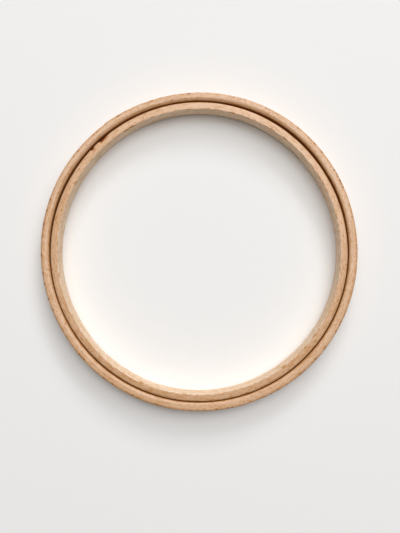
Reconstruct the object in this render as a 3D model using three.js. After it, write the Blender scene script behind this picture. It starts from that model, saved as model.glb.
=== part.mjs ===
// A screwless embroidery hoop, lying flat: two plain rings, one inside the other.
// Each ring is a single beech strip, bent on edge into a circle. The strip's ends are planed to long
// tapers, lapped and glued: a scarf joint, which leaves one feathered tip on the ring's outside wall
// and one on its inside wall. The cloth is caught in the narrow room between the rings, and the inner
// ring lifts straight out of the outer one.
//
// Millimetres and degrees. +Z is up and Z = 0 is the table. The hoop's centre is at X = Y = 0, and
// angles run anticlockwise from +X, seen from above.
import * as THREE from "three";

// Overall size
const OUTER_DIAMETER = 190;
const HOOP_HEIGHT = 16;

// The two strips' thicknesses, and the room that cloth fills between them
const OUTER_WALL = 5.2;
const INNER_WALL = 4.2;
const CLOTH_CLEARANCE = 0.9;

// Sanded edges, each the same at the top and the bottom of its wall. Two are round. The two along
// the gap are flatter: they reach farther across the strip than they drop down its wall.
const OUTER_HAND_EASE = 1.5; // outside edge, held in the hand
const OUTER_MOUTH_EASE = 2.1; // inside edge, a wide mouth that cloth is pressed into
const OUTER_MOUTH_DROP = 1.2;
const INNER_DRAW_EASE = 1.2; // outside edge, which cloth is drawn over
const INNER_DRAW_DROP = 0.8;
const INNER_WORK_EASE = 0.9; // inside edge, round the work
const LEAST_LAND = 0.6; // flat that is always left between two sanded edges

// Scarf joints: where each lap ends, and the shape of its feathered tip
const OUTER_SCARF = { outsideTip: 127, insideTip: 29 };
const INNER_SCARF = { outsideTip: 132, insideTip: 218 };
const FEATHER = 0.25; // thickness that is left at a lap's tip
const FEATHER_SLOPE = 0.6; // length of the sanded slope that ends a tip
const PROUD_LENGTH = 28; // length behind the tip over which the lap sinks to the round of the ring

// Fineness of the facets
const STATIONS = 144; // sections round a ring
const EASE_STEPS = 5; // chords in each rounded corner

// Rings, from the outside in. The inner ring takes its size from the outer one's bore.
const OUTER_RING = {
  outside: OUTER_DIAMETER / 2,
  wall: OUTER_WALL,
  outsideEase: { across: OUTER_HAND_EASE, drop: OUTER_HAND_EASE },
  insideEase: { across: OUTER_MOUTH_EASE, drop: OUTER_MOUTH_DROP },
  scarf: OUTER_SCARF,
};
const INNER_RING = {
  outside: OUTER_DIAMETER / 2 - OUTER_WALL - CLOTH_CLEARANCE,
  wall: INNER_WALL,
  outsideEase: { across: INNER_DRAW_EASE, drop: INNER_DRAW_DROP },
  insideEase: { across: INNER_WORK_EASE, drop: INNER_WORK_EASE },
  scarf: INNER_SCARF,
};

// The beech of the two strips, bare and finely sanded
const outerBeech = new THREE.MeshStandardMaterial({ color: "#d8ae87", roughness: 0.62, metalness: 0 });
const innerBeech = new THREE.MeshStandardMaterial({ color: "#dbb28b", roughness: 0.6, metalness: 0 });

// Which way the angle grows from a ring's outside tip to its inside tip. The laps lie over each other
// between the two tips.
function scarfSense(ring) {
  return Math.sign(ring.scarf.insideTip - ring.scarf.outsideTip);
}

// How far a lap stands proud of the round wall at an angle. It is nothing before the tip, climbs the
// sanded slope to the feather's thickness, and sinks back behind the tip. sense is +1 where the lap
// runs from its tip towards larger angles.
function proudness(angle, tip, sense, radius) {
  const turned = THREE.MathUtils.euclideanModulo((angle - tip) * sense + 180, 360) - 180;
  const behindTip = THREE.MathUtils.degToRad(turned) * radius;
  if (behindTip <= 0) return 0;
  if (behindTip < FEATHER_SLOPE) return (FEATHER * behindTip) / FEATHER_SLOPE;
  const sunk = (behindTip - FEATHER_SLOPE) / PROUD_LENGTH;
  return FEATHER * THREE.MathUtils.clamp(1 - sunk, 0, 1);
}

// The angles at which a ring's section is set: evenly round the circle, with two more at each tip,
// for the foot and the top of its slope. An even one that would crowd a tip gives way to it.
function stationAngles(ring) {
  const sense = scarfSense(ring);
  const slopeTurn = THREE.MathUtils.radToDeg(FEATHER_SLOPE / ring.outside);
  const tips = [
    ring.scarf.outsideTip,
    ring.scarf.outsideTip + sense * slopeTurn,
    ring.scarf.insideTip,
    ring.scarf.insideTip - sense * slopeTurn,
  ];
  const even = Array.from({ length: STATIONS }, (_, i) => (i * 360) / STATIONS);
  const kept = even.filter((angle) => tips.every((tip) => Math.abs(angle - tip) > slopeTurn / 2));
  return [...kept, ...tips].sort((a, b) => a - b);
}

// A quarter of an oval about (radius, height), as section points, anticlockwise from an angle.
function quarterOval(radius, height, ease, from) {
  const oval = new THREE.EllipseCurve(radius, height, ease.across, ease.drop, from, from + Math.PI / 2);
  return oval.getPoints(EASE_STEPS);
}

// The strip's section between two wall radii: an upright rectangle with its four edges eased, as a
// closed anticlockwise outline. Where the strip is too thin or too low for its eases, all give way
// alike.
function stripSection(inside, outside, ring) {
  const across = ring.outsideEase.across + ring.insideEase.across;
  const drop = Math.max(ring.outsideEase.drop, ring.insideEase.drop);
  const limit = Math.min(1, (ring.wall - LEAST_LAND) / across, HOOP_HEIGHT / 2 / drop);
  const outer = { across: ring.outsideEase.across * limit, drop: ring.outsideEase.drop * limit };
  const inner = { across: ring.insideEase.across * limit, drop: ring.insideEase.drop * limit };
  return [
    ...quarterOval(outside - outer.across, outer.drop, outer, -Math.PI / 2),
    ...quarterOval(outside - outer.across, HOOP_HEIGHT - outer.drop, outer, 0),
    ...quarterOval(inside + inner.across, HOOP_HEIGHT - inner.drop, inner, Math.PI / 2),
    ...quarterOval(inside + inner.across, inner.drop, inner, Math.PI),
  ];
}

// A whole ring: the strip's section at every station, skinned into one closed surface.
function bentRing(ring) {
  const sense = scarfSense(ring);
  const insideRadius = ring.outside - ring.wall;
  const sections = stationAngles(ring).map((angle) => {
    const outside = ring.outside + proudness(angle, ring.scarf.outsideTip, sense, ring.outside);
    const inside = insideRadius - proudness(angle, ring.scarf.insideTip, -sense, insideRadius);
    const turn = THREE.MathUtils.degToRad(angle);
    return stripSection(inside, outside, ring).map(
      (p) => new THREE.Vector3(p.x * Math.cos(turn), p.x * Math.sin(turn), p.y),
    );
  });
  const around = sections.length;
  const across = sections[0].length;
  const faces = [];
  for (let s = 0; s < around; s++) {
    const here = s * across;
    const next = ((s + 1) % around) * across;
    for (let p = 0; p < across; p++) {
      const q = (p + 1) % across;
      faces.push(here + p, next + p, next + q);
      faces.push(here + p, next + q, here + q);
    }
  }
  const geometry = new THREE.BufferGeometry().setFromPoints(sections.flat());
  geometry.setIndex(faces);
  geometry.computeVertexNormals();
  return geometry;
}

const outerRing = new THREE.Mesh(bentRing(OUTER_RING), outerBeech);
outerRing.name = "outer_ring";

const innerRing = new THREE.Mesh(bentRing(INNER_RING), innerBeech);
innerRing.name = "inner_ring";

const hoop = new THREE.Group();
hoop.add(outerRing, innerRing);

export default hoop;
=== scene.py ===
# %% [markdown]
# # A screwless embroidery hoop
#
# The hoop is two plain wooden rings, one inside the other. Each is a strip of beech, bent on edge
# into a circle and closed with a long glued scarf joint. Cloth is caught between the rings, and
# nothing but their close fit holds it: there is no screw.
#
# The object is almost nothing but wood, so nearly all of this lesson is about wood: a strip whose
# sanded edges catch the light, grain that runs round the ring because the strip was straight before
# it was bent, and the small brown flecks by which beech is known.

import math

import bpy
import numpy as np
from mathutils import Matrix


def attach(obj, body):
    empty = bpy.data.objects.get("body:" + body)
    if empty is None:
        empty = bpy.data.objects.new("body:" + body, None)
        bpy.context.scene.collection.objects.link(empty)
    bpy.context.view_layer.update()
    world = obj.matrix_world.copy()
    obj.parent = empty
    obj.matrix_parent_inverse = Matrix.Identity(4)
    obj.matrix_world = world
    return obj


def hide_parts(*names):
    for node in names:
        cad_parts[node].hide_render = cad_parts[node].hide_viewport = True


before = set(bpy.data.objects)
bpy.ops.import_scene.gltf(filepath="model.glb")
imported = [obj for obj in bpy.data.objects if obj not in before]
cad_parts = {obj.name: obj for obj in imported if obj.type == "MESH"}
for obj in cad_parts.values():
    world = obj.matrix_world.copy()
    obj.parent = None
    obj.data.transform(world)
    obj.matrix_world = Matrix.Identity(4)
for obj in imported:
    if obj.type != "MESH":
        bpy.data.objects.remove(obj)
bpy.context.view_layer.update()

# %% [markdown]
# ## Reading the rings' sizes
#
# A bent ring is told by very few numbers: the radius of its two walls, its height, how each edge is
# eased, and where its scarf joint ends. They could be typed in again here, but then two files would
# have to be kept alike. The frame's own solids already hold them, so they are measured. The points
# of a solid are gathered by their angle round the ring, and the farthest and nearest point at each
# angle give the two walls. The middle value over all the angles is the plain round wall, and where
# one angle stands out, a lap of the joint ends. An edge needs two numbers, because it may reach
# farther across the strip than it drops down the wall.

# %% Measure the two rings
MM = 0.001
ROUNDING = MM / 100  # points this near to a face or a wall lie on it


def measure_walls(points, radius):
    angle = np.degrees(np.arctan2(points[:, 1], points[:, 0])) % 360
    angles, of_angle = np.unique(np.round(angle, 1), return_inverse=True)
    far = np.zeros(len(angles))
    near = np.full(len(angles), np.inf)
    np.maximum.at(far, of_angle, radius)
    np.minimum.at(near, of_angle, radius)
    return {
        "outside": float(np.median(far)),
        "inside": float(np.median(near)),
        "height": float(points[:, 2].max()),
        "feather": float(far.max() - np.median(far)),
        "outside_tip": float(angles[far.argmax()]),
        "inside_tip": float(angles[near.argmin()]),
    }


def measure_ring(node):
    points = np.array([v.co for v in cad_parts[node].data.vertices])
    radius = np.hypot(points[:, 0], points[:, 1])
    ring = measure_walls(points, radius)
    flat = points[:, 2] > ring["height"] - ROUNDING
    upper = points[:, 2] > ring["height"] / 2
    outer_half = radius > (ring["outside"] + ring["inside"]) / 2
    for side, half in (("outside", outer_half), ("inside", ~outer_half)):
        on_wall = upper & (np.abs(radius - ring[side]) < ROUNDING)
        across = abs(ring[side] - float(np.median(radius[flat & half])))
        drop = ring["height"] - float(np.median(points[on_wall, 2]))
        ring[side + "_ease"] = np.array([across, drop])
    ring["sense"] = math.copysign(1, ring["inside_tip"] - ring["outside_tip"])
    ring["lap"] = math.radians(abs(ring["inside_tip"] - ring["outside_tip"]))
    ring["wall"] = ring["outside"] - ring["inside"]
    return ring


outer_size = measure_ring("outer_ring")
inner_size = measure_ring("inner_ring")
for name, size in (("outer ring", outer_size), ("inner ring", inner_size)):
    print(name, {key: np.round(value, 5).tolist() for key, value in size.items()})

# %% [markdown]
# ## The camera
#
# The hoop was photographed from straight above, so its rings are circles in the picture and the
# wall of the far side shows as evenly as that of the near side. Only the small strip of inside wall
# that perspective opens up tells how high the camera hung: 16 mm of wall shows about 5 pixels wide,
# which a camera 0.46 m up gives, with an ordinary 50 mm lens. A long lens from farther away would
# draw the rings as large, but would hide nearly all of that wall.

# %% Hang the camera over the hoop
SENSOR_MM = 36
LENS_MM = 50.04
CAMERA_PLACE = (0.0004, -0.0087, 0.456)

camera_data = bpy.data.cameras.new("camera_over_hoop")
camera_data.sensor_width = SENSOR_MM
camera_data.lens = LENS_MM
camera = bpy.data.objects.new("camera_over_hoop", camera_data)
camera.location = CAMERA_PLACE
bpy.context.scene.collection.objects.link(camera)
bpy.context.scene.camera = camera
print("camera", LENS_MM, "mm at", CAMERA_PLACE)

# %% [markdown]
# ## Rings that aren't quite round
#
# Bent wood springs back a little when it leaves its form, so a hoop is never a true circle. This one
# is about a millimetre taller than it is wide, and each ring has a slight wave of its own, so the
# gap between them is a hair wider in one place than in another. The strips aren't evenly thick
# either: the outer one's bore and the inner one's back and bore have small waves beside the spring.
# Points could be pushed about by hand, but a wave round a circle is easily written as a few sums of
# cosine and sine: once round shifts it, twice makes an oval, three times a soft triangle, four times
# a soft square. The sum for 0 is the same all round, and keeps the sprung rings within the measured
# size.

# %% Let the rings spring a little
# For each number of waves round the ring, the cosine's and the sine's amount in millimetres
OUTER_SPRING = {0: (-0.30, 0), 2: (-0.29, -0.05), 3: (-0.09, 0.02), 4: (-0.01, -0.10)}
OUTER_BORE_WAVE = {1: (-0.06, 0.22)}
INNER_SPRING = {0: (-0.25, 0), 1: (-0.08, -0.10), 2: (-0.30, 0.02), 3: (0.03, -0.14), 4: (0.12, -0.03)}
INNER_BACK_WAVE = {2: (0, -0.12), 3: (-0.07, 0)}
INNER_BORE_WAVE = {0: (-0.20, 0)}


def wave(turns, amounts):
    return MM * sum(c * np.cos(n * turns) + s * np.sin(n * turns) for n, (c, s) in amounts.items())


whole_turn = np.linspace(0, 2 * np.pi, 361)
room = (outer_size["inside"] + wave(whole_turn, OUTER_SPRING)) - (
    inner_size["outside"] + wave(whole_turn, INNER_SPRING)
)
print("gap between the rings, mm:", round(room.min() / MM, 2), "to", round(room.max() / MM, 2))

# %% [markdown]
# ## Where the surface needs points
#
# The ring could be cut into even slices, but a few places carry small forms: the feathered tips of
# the scarf joints, a fraction of a millimetre thick, and two chips in the inner ring's upper edge.
# So the slices lie evenly round the ring and more closely there. A slice every half millimetre or
# so also leaves the edges fine enough to be worn unevenly.

# %% Choose the slices round a ring
SLICES = 1200
CLOSE_SLICES = 40
CLOSE_REACH = 2.2  # degrees to either side of a place with small forms
LEAST_TURN = 0.02  # degrees between two slices


def slice_turns(close_places):
    turns = [np.arange(SLICES) * 360 / SLICES]
    for place in close_places:
        turns.append(place + np.linspace(-CLOSE_REACH, CLOSE_REACH, CLOSE_SLICES))
    turns = np.unique(np.round(np.concatenate(turns) % 360, 3))
    return np.radians(turns[np.diff(turns, prepend=-1) > LEAST_TURN])


print("slices with two close places:", len(slice_turns([100, 200])))

# %% [markdown]
# ## The laps of the scarf joint
#
# A hoop strip's ends are planed to long tapers, laid over each other and glued. Sanding never takes
# the step away quite: at the tip of each lap a feather of wood stands about a quarter of a
# millimetre proud, and sinks into the round over the next few centimetres. The tip that shows
# outside and the one that shows inside lie a quarter turn apart, as far as the taper is long.

# %% Work out how far a lap stands proud
FEATHER_SLOPE = 0.6 * MM
PROUD_LENGTH = 28 * MM


def proudness(turns, tip, sense, radius, feather):
    behind_tip = ((turns - math.radians(tip)) * sense + np.pi) % (2 * np.pi) - np.pi
    along = behind_tip * radius
    rise = np.clip(along / FEATHER_SLOPE, 0, 1)
    sink = np.clip(1 - (along - FEATHER_SLOPE) / PROUD_LENGTH, 0, 1)
    return feather * rise * sink


def ring_walls(size, turns, spring, back_wave, bore_wave):
    sprung = wave(turns, spring)
    out = proudness(turns, size["outside_tip"], size["sense"], size["outside"], size["feather"])
    into = proudness(turns, size["inside_tip"], -size["sense"], size["inside"], size["feather"])
    outside = size["outside"] + sprung + wave(turns, back_wave) + out
    return outside, size["inside"] + sprung + wave(turns, bore_wave) - into


outside, inside = ring_walls(outer_size, whole_turn, OUTER_SPRING, {}, OUTER_BORE_WAVE)
print("outer strip, mm thick:", round((outside - inside).min() / MM, 2), "to",
      round((outside - inside).max() / MM, 2))

# %% [markdown]
# ## Uneven, sanded edges
#
# A machine bends the strips, but the edges are eased by hand on a belt, and beech tears a little
# where the grain runs out. So the edges differ from place to place, and the inside edge of the
# inner ring is the least even. Smooth noise along the ring gives that: random numbers at even steps
# round the circle, joined by a soft curve, once in long steps and once in short ones. Its seed is
# fixed, so that the same ring comes out each time.

# %% Make smooth noise round the ring
LONG_STEPS = 48
SHORT_STEPS = 230


def round_noise(turns, steps, seed):
    values = np.random.default_rng(seed).uniform(-1, 1, steps)
    place = turns / (2 * np.pi) * steps
    whole = np.floor(place).astype(int)
    share = place - whole
    soft = share * share * (3 - 2 * share)
    return values[whole % steps] * (1 - soft) + values[(whole + 1) % steps] * soft


def worn(turns, ease, seed, slow, quick):
    """How far an edge reaches across and how far it drops, at every slice."""
    slow_wear = slow * round_noise(turns, LONG_STEPS, seed)
    across_wear = slow_wear + quick * round_noise(turns, SHORT_STEPS, seed + 1)
    drop_wear = slow_wear + quick * round_noise(turns, SHORT_STEPS, seed + 2)
    return ease[0] * (1 + across_wear), ease[1] * (1 + drop_wear)


worn_edge = worn(whole_turn, outer_size["outside_ease"], seed=13, slow=0.12, quick=0.10)
for way, reach in zip(("across:", "down:"), worn_edge):
    print("outer edge, mm", way, round(reach.min() / MM, 2), "to", round(reach.max() / MM, 2))

# %% [markdown]
# ## Two chips
#
# At the upper left the inner ring's outer edge has lost two small splinters, beside the tip of its
# scarf joint, where the wood is thinnest. A splinter tears out along the grain: it is longer than it
# is deep, starts abruptly, and runs out gently. They could be cut out with a tool shape, but such
# small dents are more easily pushed into the surface. Each is given by the angle of its deepest
# place, how many degrees it runs to either side, and how far it reaches into the ring.

# %% Describe the chips
CHIPS = [
    {"at": 136.2, "before": 1.3, "after": 0.7, "reach": 0.62 * MM},
    {"at": 131.7, "before": 4.2, "after": 0.5, "reach": 0.58 * MM},
]
GENTLE_END = 1.4
ABRUPT_START = 0.6


def chip_depth(turns):
    depth = np.zeros_like(turns)
    for chip in CHIPS:
        away = (np.degrees(turns) - chip["at"] + 180) % 360 - 180
        run = np.where(away < 0, chip["before"], chip["after"])
        shape = np.clip(1 - np.abs(away) / run, 0, 1)
        shape = np.where(away < 0, shape**GENTLE_END, shape**ABRUPT_START)
        depth = np.maximum(depth, chip["reach"] * shape)
    return depth


chipped = chip_depth(np.radians(np.linspace(120, 140, 400)))
print("deepest chip, mm:", round(chipped.max() / MM, 2))

# %% [markdown]
# ## The strip's section
#
# Cut across, each strip is an upright rectangle with its four edges eased. The two edges along the
# gap are flatter than they are round, and the outer ring's is the widest, because cloth is pressed
# in there. The section is drawn as one closed outline that goes round the strip once: a quarter of
# an oval at each edge, and points along the flats between them. It is drawn for all slices at once,
# so every size may differ from slice to slice.

# %% Draw the section of a strip, for every slice
EASE_CHORDS = 9
WALL_CHORDS = 10
LAND_CHORDS = 3


def quarter_oval(radius, height, ease, start):
    turn = start + np.linspace(0, math.pi / 2, EASE_CHORDS + 1)
    across = radius[:, None] + ease[0][:, None] * np.cos(turn)
    up = height[:, None] + ease[1][:, None] * np.sin(turn)
    return np.stack([across, up], 2)


def strip_sections(outside, inside, top, low_out, high_out, high_in, low_in):
    corners = [
        quarter_oval(outside - low_out[0], low_out[1], low_out, -math.pi / 2),
        quarter_oval(outside - high_out[0], top - high_out[1], high_out, 0),
        quarter_oval(inside + high_in[0], top - high_in[1], high_in, math.pi / 2),
        quarter_oval(inside + low_in[0], low_in[1], low_in, math.pi),
    ]
    outline = []
    for place, corner in enumerate(corners):
        last, after = corner[:, -1:], corners[(place + 1) % 4][:, :1]
        chords = LAND_CHORDS if place % 2 else WALL_CHORDS
        share = np.linspace(0, 1, chords + 1)[1:-1][None, :, None]
        outline += [corner, last * (1 - share) + after * share]
    return np.concatenate(outline, axis=1)


print("points in a section:", 4 * EASE_CHORDS + 2 * WALL_CHORDS + 2 * LAND_CHORDS)

# %% [markdown]
# ## Laying the strip's skin out flat
#
# Textures that are baked later need a flat map of the surface. A hoop unrolls into a band about
# fourteen times longer than it is wide, which would waste nearly all of a square picture, so the
# map cuts the band into four lengths and lays them one above the other.

# %% Map the skin
MAP_LENGTHS = 4
MAP_MARGIN = 0.012


def map_corners(turns, sections):
    steps = np.linalg.norm(np.diff(sections[0], axis=0, append=sections[0][:1]), axis=1)
    across = np.append(0, np.cumsum(steps)) / steps.sum()
    start = turns / (2 * np.pi) * MAP_LENGTHS
    end = np.append(turns[1:], 2 * np.pi) / (2 * np.pi) * MAP_LENGTHS
    length = np.floor(start + 1e-9)  # rounding mustn't put a slice into the length before
    u = np.stack([start - length, np.minimum(end - length, 1)], 1)[:, [0, 1, 1, 0]]
    v = np.stack([across[:-1], across[1:]], 1)[:, [0, 0, 1, 1]]
    inner_share = 1 - 2 * MAP_MARGIN
    u = np.broadcast_to(u[:, None], (len(turns), len(steps), 4)) * inner_share + MAP_MARGIN
    v = (length[:, None, None] + v[None] * inner_share + MAP_MARGIN) / MAP_LENGTHS
    return np.stack([u, v], 3).reshape(-1, 2)


band = math.tau * outer_size["outside"] / (2 * (outer_size["wall"] + outer_size["height"]))
print("the outer ring's skin is", round(band, 1), "times longer than wide")

# %% [markdown]
# ## Bending the strip
#
# The sections are set round the circle and skinned with four-sided faces. A modifier could bend a
# straight strip in the same way, but then the wood's pattern couldn't look up where a point of the
# bent ring came from. So some numbers are kept with the mesh for the pattern, one for each point:
# how deep it lies in the strip, measured from the outside wall and from the bore, which the wavy
# ring's radius alone doesn't tell, and how much of it is torn.

# %% Bend a strip into a ring
def skin_ring(name, turns, sections, kept):
    around, across = sections.shape[:2]
    points = np.empty((around, across, 3))
    points[..., 0] = np.cos(turns)[:, None] * sections[..., 0]
    points[..., 1] = np.sin(turns)[:, None] * sections[..., 0]
    points[..., 2] = sections[..., 1]
    here = np.arange(around)[:, None] * across + np.arange(across)
    ahead = np.roll(here, -1, axis=0)
    faces = np.stack([here, ahead, np.roll(ahead, -1, axis=1), np.roll(here, -1, axis=1)], axis=2)
    mesh = bpy.data.meshes.new(name)
    mesh.from_pydata(points.reshape(-1, 3).tolist(), [], faces.reshape(-1, 4).tolist())
    mesh.shade_smooth()
    for mark, values in kept.items():
        mesh.attributes.new(mark, "FLOAT", "POINT").data.foreach_set("value", values.ravel())
    mesh.uv_layers.new(name="OFBake").data.foreach_set("uv", map_corners(turns, sections).ravel())
    ring = bpy.data.objects.new(name, mesh)
    bpy.context.scene.collection.objects.link(ring)
    print(name, "has", len(mesh.polygons), "faces")
    return ring


def strip_depths(outside, inside, sections):
    return {
        "strip_depth": outside[:, None] - sections[..., 0],
        "bore_depth": sections[..., 0] - inside[:, None],
    }


# %% [markdown]
# ## The outer ring
#
# Its outside edges are round and pleasant to hold. Its inside edges are a wide, flat mouth. On this
# hoop the upper mouth is wider towards the upper left than towards the lower right, as happens when
# the ring leans on the belt while it is sanded, so one slow wave round the ring is added. It also
# drops farther down the wall than the plain one, so its tone deepens sooner towards the gap.

# %% Make the outer ring
MOUTH_WIDTH = 0.97  # share of the measured ease
MOUTH_LEAN = (-0.12, 0.20)  # share by which it is wider towards +X and towards +Y
MOUTH_STEEPER = 1.35


def outer_ring_wood():
    size = outer_size
    turns = slice_turns([size["outside_tip"], size["inside_tip"]])
    outside, inside = ring_walls(size, turns, OUTER_SPRING, {}, OUTER_BORE_WAVE)
    across, drop = worn(turns, size["inside_ease"] * MOUTH_WIDTH, seed=15, slow=0.05, quick=0.03)
    lean = 1 + MOUTH_LEAN[0] * np.cos(turns) + MOUTH_LEAN[1] * np.sin(turns)
    sections = strip_sections(
        outside,
        inside,
        np.full(len(turns), size["height"]),
        low_out=worn(turns, size["outside_ease"], seed=11, slow=0.12, quick=0.08),
        high_out=worn(turns, size["outside_ease"], seed=13, slow=0.12, quick=0.10),
        high_in=(across * lean, drop * lean * MOUTH_STEEPER),
        low_in=worn(turns, size["inside_ease"], seed=17, slow=0.05, quick=0.03),
    )
    kept = strip_depths(outside, inside, sections)
    return skin_ring("outer_ring_wood", turns, sections, kept)


outer_ring = outer_ring_wood()

# %% [markdown]
# ## The inner ring
#
# Its outside edges, which cloth is drawn over, are smooth. Its inside edges, round the work, are
# sanded least: the upper one is narrower than the plain one, and the most uneven. Its top face isn't
# level but falls a little towards the gap, so along the lower half of the ring it leans away from
# the light and looks darker. The chips are pushed inward and down into the finished section: each
# takes most from the upper edge, less lower down, and nothing farther in than 1.3 mm. Where one has
# taken wood, the points are marked as torn.

# %% Make the inner ring, with its chips
WORK_EDGE_WIDTH = 0.8  # share of the measured ease
FACE_SLOPE = 0.09  # drop for each length outward
CHIP_DOWN = 2.6 * MM
CHIP_BACK = 1.3 * MM
CHIP_HOLLOW = 0.7  # below 1, a chip's floor is rounder
CHIP_INWARD, CHIP_DOWNWARD = 0.6, 0.9  # shares of a chip's depth
TORN_AT = 0.15 * MM  # depth from which a chip is torn wood all over


def inner_ring_wood():
    size = inner_size
    turns = slice_turns([size["outside_tip"], size["inside_tip"]] + [chip["at"] for chip in CHIPS])
    outside, inside = ring_walls(size, turns, INNER_SPRING, INNER_BACK_WAVE, INNER_BORE_WAVE)
    sections = strip_sections(
        outside,
        inside,
        np.full(len(turns), size["height"]),
        low_out=worn(turns, size["outside_ease"], seed=21, slow=0.10, quick=0.06),
        high_out=worn(turns, size["outside_ease"], seed=23, slow=0.10, quick=0.06),
        high_in=worn(turns, size["inside_ease"] * WORK_EDGE_WIDTH, seed=25, slow=0.22, quick=0.40),
        low_in=worn(turns, size["inside_ease"], seed=28, slow=0.18, quick=0.25),
    )
    kept = strip_depths(outside, inside, sections)
    near_top = np.clip(1 - (size["height"] - sections[..., 1]) / CHIP_DOWN, 0, 1)
    near_wall = np.clip(1 - kept["strip_depth"] / CHIP_BACK, 0, 1)
    lost = chip_depth(turns)[:, None] * near_top * near_wall**CHIP_HOLLOW
    upper = np.clip(2 * sections[..., 1] / size["height"] - 1, 0, 1)
    sections[..., 1] -= FACE_SLOPE * kept["bore_depth"] * upper
    sections[..., 0] -= CHIP_INWARD * lost
    sections[..., 1] -= CHIP_DOWNWARD * lost
    kept["torn"] = np.clip(lost / TORN_AT, 0, 1)
    return skin_ring("inner_ring_wood", turns, sections, kept)


inner_ring = inner_ring_wood()

# %% [markdown]
# ## Writing a material as a recipe
#
# A material is a web of small nodes. Placing and joining dozens of them by hand hides what they are
# for, so a recipe is written first: a few verbs that each add one node and give back what comes out
# of it. Values can then be combined much as in ordinary arithmetic. Each ring has a recipe of its
# own, whose start says where in the endless patterns its strip was cut, so that they differ.

# %% A recipe that adds shader steps
class Recipe:
    def __init__(self, name, start=0.0):
        self.material = bpy.data.materials.new(name)
        self.material.use_nodes = True
        self.tree = self.material.node_tree
        self.shader = self.tree.nodes["Principled BSDF"]
        self.start = start

    def add(self, kind, *values, **settings):
        """A node with these values, in the order of its sockets, and with these settings."""
        node = self.tree.nodes.new(kind)
        for setting, choice in settings.items():
            setattr(node, setting, choice)
        for socket, value in zip(node.inputs, values):
            self.fill(socket, value)
        return node

    def fill(self, socket, value):
        if isinstance(value, bpy.types.NodeSocket):
            self.tree.links.new(value, socket)
        else:
            socket.default_value = value

    def number(self, operation, *values):
        return self.add("ShaderNodeMath", *values, operation=operation).outputs[0]

    def spread(self, value, low, high, to_low=0.0, to_high=1.0, bend="SMOOTHSTEP"):
        limits = (low, high, to_low, to_high)
        return self.add("ShaderNodeMapRange", value, *limits, interpolation_type=bend).outputs[0]

    def kept(self, mark):
        return self.add("ShaderNodeAttribute", attribute_name=mark).outputs["Fac"]

    def place(self):
        return self.add("ShaderNodeTexCoord").outputs["Object"]


outer_beech = Recipe("outer_beech", start=3.7)
inner_beech = Recipe("inner_beech", start=41.3)
print("two recipes:", outer_beech.material.name, "and", inner_beech.material.name)

# %% [markdown]
# ## Wood that was once straight
#
# A pattern laid on the bent ring would look wrong at once: grain can't run straight through a circle
# that was bent from one strip. So the pattern is worked out on the straight strip and the ring only
# looks up where each of its points lay before bending. Along is the angle from the joint's outside
# tip times the radius, depth is kept with the mesh, and height needs no change. Where the two laps
# lie over each other, a slanting glue face parts them: outside of it is the strip's beginning, inside
# of it the strip's end, one whole turn farther along, so the grain doesn't match there, as in a real
# joint.

# %% Look up places in the straight strip
GLUE_LINE = (0.005 * MM, 0.04 * MM)  # from full glue to bare wood, to either side of the glue face


def straight_strip(recipe, size):
    """Along, depth and height in the strip before it was bent, and how near the glue face is."""
    number = recipe.number
    x, y, height = recipe.add("ShaderNodeSeparateXYZ", recipe.place()).outputs
    depth = recipe.kept("strip_depth")
    angle = number("ARCTAN2", y, x)
    from_tip = number("SUBTRACT", angle, math.radians(size["outside_tip"]))
    turned = number("WRAP", number("MULTIPLY", from_tip, size["sense"]), math.tau, 0.0)
    past_glue = number("SUBTRACT", depth, number("MULTIPLY", turned, size["wall"] / size["lap"]))
    in_joint = number("LESS_THAN", turned, size["lap"])
    inside_lap = number("MULTIPLY", number("GREATER_THAN", past_glue, 0.0), in_joint)
    along = number("MULTIPLY_ADD", inside_lap, math.tau, turned)
    near_glue = recipe.spread(number("ABSOLUTE", past_glue), *GLUE_LINE, 1, 0)
    return {
        "along": number("MULTIPLY", along, (size["outside"] + size["inside"]) / 2),
        "depth": depth,
        "height": height,
        "glue": number("MULTIPLY", near_glue, in_joint),
    }


outer_strip = straight_strip(outer_beech, outer_size)
inner_strip = straight_strip(inner_beech, inner_size)
print("outer strip, straight:", round(math.tau * outer_size["outside"] * 1000), "mm and the lap")

# %% [markdown]
# ## Marks that follow the grain
#
# Everything in wood is longer along the grain than across it, so each mark is described by its
# length and its thickness, and the strip's place is divided by them before a pattern is looked up.
# Growth layers also lean, because the strip was sawn at a slant to the tree's rings. Two patterns are
# enough: soft mottling, and spots of which only a few cells have one. A photograph of wood could be
# wrapped round the ring instead, but it would show its seams and its one size of picture.

# %% Stretch patterns along the grain
OUTER_LEAN = 35  # degrees
INNER_LEAN = -25
MOTTLE_ROUGHNESS = 0.55
SPOT_SCATTER = 0.9
SPOT_BORDER = 0.16  # softness of a spot's edge, as a share of its cell


def along_grain(recipe, strip, length, thickness, lean=0.0):
    """A place in a pattern whose marks are that long and that thick, in layers that lean over."""
    number = recipe.number
    c, s = math.cos(math.radians(lean)), math.sin(math.radians(lean))
    layer = number("MULTIPLY_ADD", strip["depth"], c, number("MULTIPLY", strip["height"], s))
    level = number("MULTIPLY_ADD", strip["height"], c, number("MULTIPLY", strip["depth"], -s))
    along = number("MULTIPLY_ADD", strip["along"], 1 / length, recipe.start)
    layer = number("DIVIDE", layer, thickness[0])
    level = number("DIVIDE", level, thickness[1])
    return recipe.add("ShaderNodeCombineXYZ", along, layer, level).outputs[0]


def mottle(recipe, place, detail=2.0):
    """Soft mottling, evenly to either side of nothing."""
    node = recipe.add("ShaderNodeTexNoise")
    recipe.fill(node.inputs["Vector"], place)
    node.inputs["Scale"].default_value = 1
    node.inputs["Detail"].default_value = detail
    node.inputs["Roughness"].default_value = MOTTLE_ROUGHNESS
    return recipe.number("SUBTRACT", node.outputs["Fac"], 0.5)


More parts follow.
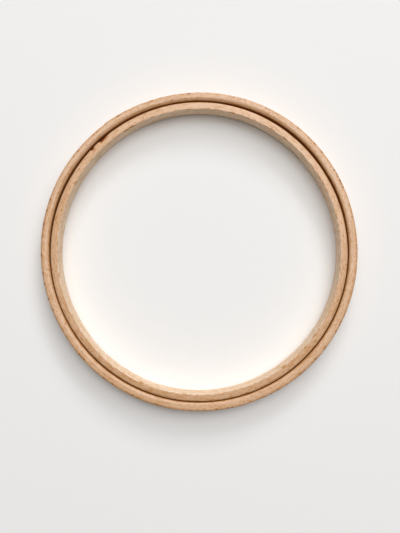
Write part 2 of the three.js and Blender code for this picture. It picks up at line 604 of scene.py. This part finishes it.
def spots(recipe, place, least, widest):
    """Spots scattered one to a cell. Only cells whose random number is above least have a spot."""
    node = recipe.add("ShaderNodeTexVoronoi")
    recipe.fill(node.inputs["Vector"], place)
    node.inputs["Scale"].default_value = 1
    node.inputs["Randomness"].default_value = SPOT_SCATTER
    chance = recipe.add("ShaderNodeSeparateColor", node.outputs["Color"]).outputs["Red"]
    size = recipe.spread(chance, least, 1.0, 0.0, widest)
    inward = recipe.number("SUBTRACT", size, node.outputs["Distance"])
    return recipe.spread(inward, 0.0, SPOT_BORDER)


print("layers lean", OUTER_LEAN, "degrees in the outer strip and", INNER_LEAN, "in the inner one")

# %% [markdown]
# ## Beech
#
# Beech is pale pinkish tan, with little contrast between early and late wood, so its streaks are
# soft. What makes it beech are its rays: sheets of harder, browner tissue that show on the surface
# as small orange-brown flecks a millimetre or so long, and as dots where they are cut across. Each
# mark is no more than a little more or less of one brown dye, so the recipe adds up the dye of all
# of them, from the slow drift of tone along the strip, over growth layers and clouds, to fine
# fibre, flecks and dots. Beech has brown marks on a pale ground but hardly any paler ones, so the
# sum of the soft marks is kept from falling far below nothing.

# %% Add up the dye of the wood's own marks
# Each soft mark's length, its thickness through the layers and up the strip, and its dye
DRIFT = (26 * MM, (5 * MM, 9 * MM), 0.42)
LAYERS = (18 * MM, (0.7 * MM, 3 * MM), 0.85)
CLOUDS = (5 * MM, (1.6 * MM, 1.6 * MM), 0.65)
FIBRE = (2.6 * MM, (0.5 * MM, 0.5 * MM), 1.50)
LAYER_DETAIL = 3
LEAST_DYE = -0.06
LEAST_DYE_BEND = 0.15

# Each spot's cell, the widest spot as a share of it, and its dye
FLECKS = (2.6 * MM, (1.3 * MM, 1.3 * MM), 0.42, 0.28)
DOTS = (1.3 * MM, (0.8 * MM, 0.8 * MM), 0.62, 0.40)
OUTER_FLECKS_FROM = 0.66  # the share of cells that have no fleck
INNER_FLECKS_FROM = 0.70
DOTS_FROM = 0.80


def soft_mark(recipe, strip, mark, lean=0.0, detail=2.0):
    length, thickness, weight = mark
    place = along_grain(recipe, strip, length, thickness, lean)
    return mottle(recipe, place, detail), weight


def growth(recipe, strip, lean):
    drift = soft_mark(recipe, strip, DRIFT)
    layers = soft_mark(recipe, strip, LAYERS, lean, LAYER_DETAIL)
    clouds = soft_mark(recipe, strip, CLOUDS)
    fibre = soft_mark(recipe, strip, FIBRE)
    dye = 0.0
    for pattern, weight in (drift, layers, clouds, fibre):
        dye = recipe.number("MULTIPLY_ADD", pattern, weight, dye)
    dye = recipe.number("SMOOTH_MAX", dye, LEAST_DYE, LEAST_DYE_BEND)
    return dye, layers[0], fibre[0]


def rays(recipe, strip, flecks_from, dye):
    patterns = []
    for (length, thickness, widest, weight), least in ((FLECKS, flecks_from), (DOTS, DOTS_FROM)):
        place = along_grain(recipe, strip, length, thickness)
        patterns.append(spots(recipe, place, least, widest))
        dye = recipe.number("MULTIPLY_ADD", patterns[-1], weight, dye)
    return dye, patterns[0]


outer_dye, outer_layers, outer_fibre = growth(outer_beech, outer_strip, OUTER_LEAN)
inner_dye, inner_layers, inner_fibre = growth(inner_beech, inner_strip, INNER_LEAN)
outer_dye, outer_flecks = rays(outer_beech, outer_strip, OUTER_FLECKS_FROM, outer_dye)
inner_dye, inner_flecks = rays(inner_beech, inner_strip, INNER_FLECKS_FROM, inner_dye)
print("steps in a recipe so far:", len(outer_beech.tree.nodes))

# %% [markdown]
# ## Torn fibre, glue, chips and painted shade in the gap
#
# Where an edge is eased, fibres that run out of the strip tear and show darker ends: as small specks
# along the outer ring's outside edge, and as dashes along the inner ring's inside edge. A thin line
# of glue shows where the laps meet. The two walls that face each other, down in the gap, get a brown
# dye that is painted shade: it darkens the gap between the rings. The chips are dyed a deep orange
# brown. All of these are dye too, each laid on with a mask that says how near a point is to that
# edge, that line or that wall. One more mask marks the inner ring's bore, which gets a paler start;
# that paleness is in part a painted sheen of the lit bore.

# %% Add the dye of edges and joint, and the painted shade of the gap walls
# Torn places: their length, the share of cells that have none, and the widest as a share of a cell
OUTER_TEARS = (2.2 * MM, 0.20, 0.58)
INNER_TEARS = (4.5 * MM, 0.12, 0.56)
TEAR_THICKNESS = 1.7 * MM
TEAR_REACH = (0.5, 1.1)  # where they begin and cease to fade, in eases from the wall's edge

# How deep the painted gap shade and the bore's paler start reach from their wall, from full to none
NEAR_WALL_FULL = 0.02 * MM
OUTER_GAP_SHADE = 0.5 * MM
INNER_GAP_SHADE = 0.25 * MM
BORE_SHEEN_REACH = 0.5 * MM

# How much dye each lays on
# The dye on the two gap walls is painted shade, darkening the gap between the rings
OUTER_DYES = {"tears": 0.95, "gap_shade": 0.6, "glue": 0.5}
INNER_DYES = {"tears": 0.6, "gap_shade": 0.4, "glue": 0.5, "torn": 1.4}


def from_wall(recipe, strip, side):
    return strip["depth"] if side == "outside" else recipe.kept("bore_depth")


def edge_tears(recipe, strip, size, side, tears):
    """Torn places along the edges of one side, strongest on the edge itself."""
    number = recipe.number
    length, least, widest = tears
    half = size["height"] / 2
    to_face = number("SUBTRACT", half, number("ABSOLUTE", number("SUBTRACT", strip["height"], half)))
    to_wall = from_wall(recipe, strip, side)
    squared = number("MULTIPLY_ADD", to_face, to_face, number("MULTIPLY", to_wall, to_wall))
    ease = float(size[side + "_ease"][0])
    near = recipe.spread(number("SQRT", squared), *(share * ease for share in TEAR_REACH), 1, 0)
    place = along_grain(recipe, strip, length, (TEAR_THICKNESS, TEAR_THICKNESS))
    return number("MULTIPLY", near, spots(recipe, place, least, widest))


# A band along one wall: it carries the painted shade of the gap and the bore's partly painted sheen
def wall_band(recipe, strip, side, depth):
    return recipe.spread(from_wall(recipe, strip, side), NEAR_WALL_FULL, depth, 1, 0)


def lay_on(recipe, masks, amounts, dye):
    for mark, mask in masks.items():
        dye = recipe.number("MULTIPLY_ADD", mask, amounts[mark], dye)
    return dye


outer_masks = {
    "tears": edge_tears(outer_beech, outer_strip, outer_size, "outside", OUTER_TEARS),
    # painted shade of the gap, on the outer ring's inside wall
    "gap_shade": wall_band(outer_beech, outer_strip, "inside", OUTER_GAP_SHADE),
    "glue": outer_strip["glue"],
}
inner_masks = {
    "tears": edge_tears(inner_beech, inner_strip, inner_size, "inside", INNER_TEARS),
    # painted shade of the gap, on the inner ring's outside wall
    "gap_shade": wall_band(inner_beech, inner_strip, "outside", INNER_GAP_SHADE),
    "glue": inner_strip["glue"],
    "torn": inner_beech.kept("torn"),
}
outer_dye = lay_on(outer_beech, outer_masks, OUTER_DYES, outer_dye)
inner_dye = lay_on(inner_beech, inner_masks, INNER_DYES, inner_dye)
# Partly painted sheen: a mask for the bore's paler start
bore_sheen_mask = wall_band(inner_beech, inner_strip, "inside", BORE_SHEEN_REACH)
print("steps in the inner ring's recipe:", len(inner_beech.tree.nodes))

# %% [markdown]
# ## From dye to colour
#
# Dye works like a coloured glass: each further layer lets through the same share of what is left, and
# a brown one lets through most red and least blue. So the pale wood's red, green and blue are each
# multiplied by a number raised to the amount of dye. The darkest marks come out a deep orange brown
# by themselves, with no second colour to choose. Only the start differs: the inner ring's bore
# starts from a paler wood than its faces do, which in part paints in the pale sheen of the lit bore.

# %% Colour the wood
DYE_HOLDS = (0.65, 1.25, 2.6)  # how strongly the dye holds back red, green and blue
OUTER_PALE = (0.657, 0.389, 0.210)
INNER_PALE = (0.654, 0.386, 0.207)
# The bore's paler colour is in part painted sheen, standing in for the pale sheen of the lit bore
BORE_SHEEN_PALE = (0.88, 0.665, 0.475)


def colour_wood(recipe, pale, sheen_share, sheen_pale, dye):
    colour = recipe.add("ShaderNodeCombineColor")
    for socket, part, sheen_part, hold in zip(colour.inputs, pale, sheen_pale, DYE_HOLDS):
        passed = recipe.number("POWER", math.exp(-hold), dye)
        # Towards the bore the start turns paler, which in part paints in the lit bore's sheen
        start = recipe.spread(sheen_share, 0, 1, part, sheen_part)
        recipe.fill(socket, recipe.number("MULTIPLY", passed, start))
    recipe.fill(recipe.shader.inputs["Base Color"], colour.outputs[0])


colour_wood(outer_beech, OUTER_PALE, 0.0, OUTER_PALE, outer_dye)
colour_wood(inner_beech, INNER_PALE, bore_sheen_mask, BORE_SHEEN_PALE, inner_dye)
print("a mark with dye 0.5 is", [round(p * math.exp(-h / 2), 3) for p, h in zip(OUTER_PALE, DYE_HOLDS)])

# %% [markdown]
# ## A sanded surface
#
# The wood is bare: no varnish, no oil. The faces and edges that pass over the fine belt, and later
# through many hands, get a soft shine; the walls below them stay duller, with nearly none. So the
# dullness goes by height, and varies a little with the growth layers. The late wood is a little
# harder and stands up after sanding, and the rays lie a little deeper, so a very low relief comes
# from the same marks as the colour.

# %% Finish the surface
RELIEF = 0.045 * MM
LAYERS_STAND, FIBRE_STANDS, FLECKS_STAND = 0.6, 0.5, -0.35  # shares of the relief
FACE_DULLNESS = 0.38
WALL_DULLNESS = 0.8
LAYER_DULLNESS = 0.15
SHINE = 0.75
POLISHED = (1.2 * MM, 0.3 * MM)  # below a face, where the shine begins and where it is full


def sand(recipe, strip, size, layers, fibre, flecks):
    number = recipe.number
    height = number("MULTIPLY_ADD", layers, LAYERS_STAND, number("MULTIPLY", fibre, FIBRE_STANDS))
    height = number("MULTIPLY_ADD", flecks, FLECKS_STAND, height)
    bump = recipe.add("ShaderNodeBump")
    bump.inputs["Strength"].default_value = 1
    bump.inputs["Distance"].default_value = RELIEF
    recipe.fill(bump.inputs["Height"], height)
    recipe.fill(recipe.shader.inputs["Normal"], bump.outputs["Normal"])
    half = size["height"] / 2
    off_middle = number("ABSOLUTE", number("SUBTRACT", strip["height"], half))
    begins, full = (half - below for below in POLISHED)
    dullness = recipe.spread(off_middle, begins, full, WALL_DULLNESS, FACE_DULLNESS)
    dullness = number("MULTIPLY_ADD", layers, LAYER_DULLNESS, dullness)
    recipe.fill(recipe.shader.inputs["Roughness"], dullness)
    recipe.shader.inputs["Specular IOR Level"].default_value = SHINE


sand(outer_beech, outer_strip, outer_size, outer_layers, outer_fibre, outer_flecks)
sand(inner_beech, inner_strip, inner_size, inner_layers, inner_fibre, inner_flecks)
outer_ring.data.materials.append(outer_beech.material)
inner_ring.data.materials.append(inner_beech.material)
print("relief, mm:", RELIEF / MM)

# %% [markdown]
# ## The floor
#
# The hoop lies on a plain, nearly white surface. A round sheet much larger than the hoop stands for
# it. Its colour makes the background pale; the lamps stay at a plain level. Seen from low down, a
# sheet ends in a hard, dark line where the light falls off. A curved backdrop would hide it from one
# side only, so this sheet grows more and more transparent towards its rim instead, and the equally
# pale room shows through.

# %% Lay the floor
FLOOR_REACH = 1.6
FADE_START = 0.35
FLOOR_COLOUR = (0.88, 0.878, 0.872, 1)
FLOOR_DULLNESS = 0.9

floor_mesh = bpy.data.meshes.new("floor")
rim = [(FLOOR_REACH * math.cos(turn), FLOOR_REACH * math.sin(turn), 0) for turn in whole_turn[:-1:5]]
floor_mesh.from_pydata(rim, [], [tuple(range(len(rim)))])
floor = bpy.data.objects.new("floor", floor_mesh)
bpy.context.scene.collection.objects.link(floor)
floor_paint = Recipe("floor_paint")
floor_paint.shader.inputs["Base Color"].default_value = FLOOR_COLOUR
floor_paint.shader.inputs["Roughness"].default_value = FLOOR_DULLNESS
floor_paint.shader.inputs["Specular IOR Level"].default_value = 0
away = floor_paint.add("ShaderNodeVectorMath", floor_paint.place(), operation="LENGTH")
fade = floor_paint.spread(away.outputs["Value"], FADE_START, FLOOR_REACH, bend="LINEAR")
clear = floor_paint.add("ShaderNodeBsdfTransparent").outputs[0]
faded = floor_paint.add("ShaderNodeMixShader", fade, floor_paint.shader.outputs[0], clear)
floor_paint.fill(floor_paint.tree.nodes["Material Output"].inputs["Surface"], faded.outputs[0])
floor_mesh.materials.append(floor_paint.material)
print("floor laid,", 2 * FLOOR_REACH, "m across")

# %% [markdown]
# ## Light
#
# The shadows tell where the light came from. They lie towards the lower left and are soft, and the
# inside wall is bright at the bottom and brown at the top, so the light stood beyond the top of the
# picture, a little to the right. One panel can't give both the bright line that low light draws along
# the rings' edges and the even faces that need light from above. So four soft panels hang in that
# half of the room: a low one, one nearly overhead, and one to either side. They hang far off for so
# small an object, as windows do, so the light is as strong on the near floor as on the hoop.

# %% Hang the soft panels
PANEL_DISTANCE = 3.6
PANELS = (  # degrees round from +X, degrees up, metres wide, metres high, watts
    ("low_panel", 78, 35, 1.6, 1.1, 44),
    ("high_panel", 78, 83, 2.0, 1.6, 41),
    ("right_panel", 45, 58, 2.2, 2.2, 44),
    ("left_panel", 110, 58, 2.2, 2.2, 25),
)


def soft_panel(name, azimuth, elevation, width, height, power):
    data = bpy.data.lights.new(name, "AREA")
    data.shape = "RECTANGLE"
    data.size = width
    data.size_y = height
    data.energy = power
    panel = bpy.data.objects.new(name, data)
    around, up = math.radians(azimuth), math.radians(elevation)
    panel.location = (
        PANEL_DISTANCE * math.cos(up) * math.cos(around),
        PANEL_DISTANCE * math.cos(up) * math.sin(around),
        PANEL_DISTANCE * math.sin(up),
    )
    panel.rotation_euler = (math.pi / 2 - up, 0, around + math.pi / 2)
    bpy.context.scene.collection.objects.link(panel)
    print(name, "gives", power, "W")


for panel_sizes in PANELS:
    soft_panel(*panel_sizes)

# %% [markdown]
# ## The room
#
# The room itself gives only a faint, even light, a little warm, as from walls that the hoop's own
# window light has reached. The camera sees it as the same pale tone as the floor, which a light path
# node arranges: what the camera sees needn't be what lights the hoop.

# %% Light the room faintly
ROOM_TINT = (1, 0.92, 0.84, 1)
ROOM_STRENGTH = 0.07
SEEN_TONE = (0.9, 0.895, 0.885, 1)

room_light = bpy.data.worlds.new("room_light")
room_light.use_nodes = True
room_tree = room_light.node_tree
faint = room_tree.nodes["Background"]
faint.inputs["Color"].default_value = ROOM_TINT
faint.inputs["Strength"].default_value = ROOM_STRENGTH
seen = room_tree.nodes.new("ShaderNodeBackground")
seen.inputs["Color"].default_value = SEEN_TONE
seen.inputs["Strength"].default_value = 1
light_path = room_tree.nodes.new("ShaderNodeLightPath")
either = room_tree.nodes.new("ShaderNodeMixShader")
room_tree.links.new(light_path.outputs["Is Camera Ray"], either.inputs[0])
room_tree.links.new(faint.outputs[0], either.inputs[1])
room_tree.links.new(seen.outputs[0], either.inputs[2])
room_tree.links.new(either.outputs[0], room_tree.nodes["World Output"].inputs["Surface"])
bpy.context.scene.world = room_light
print("room light:", ROOM_STRENGTH)

# %% [markdown]
# ## Joining the rings to the frame
#
# Each wooden ring takes the place of the frame's plain one and moves with its body, so the inner
# ring lifts out as it should.

# %% Ride on the bodies and finish
for ring, node, slot in (
    (outer_ring, "outer_ring", "outer_beech"),
    (inner_ring, "inner_ring", "inner_beech"),
):
    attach(ring, node)
    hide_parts(node)
bpy.context.scene.view_settings.view_transform = "Standard"
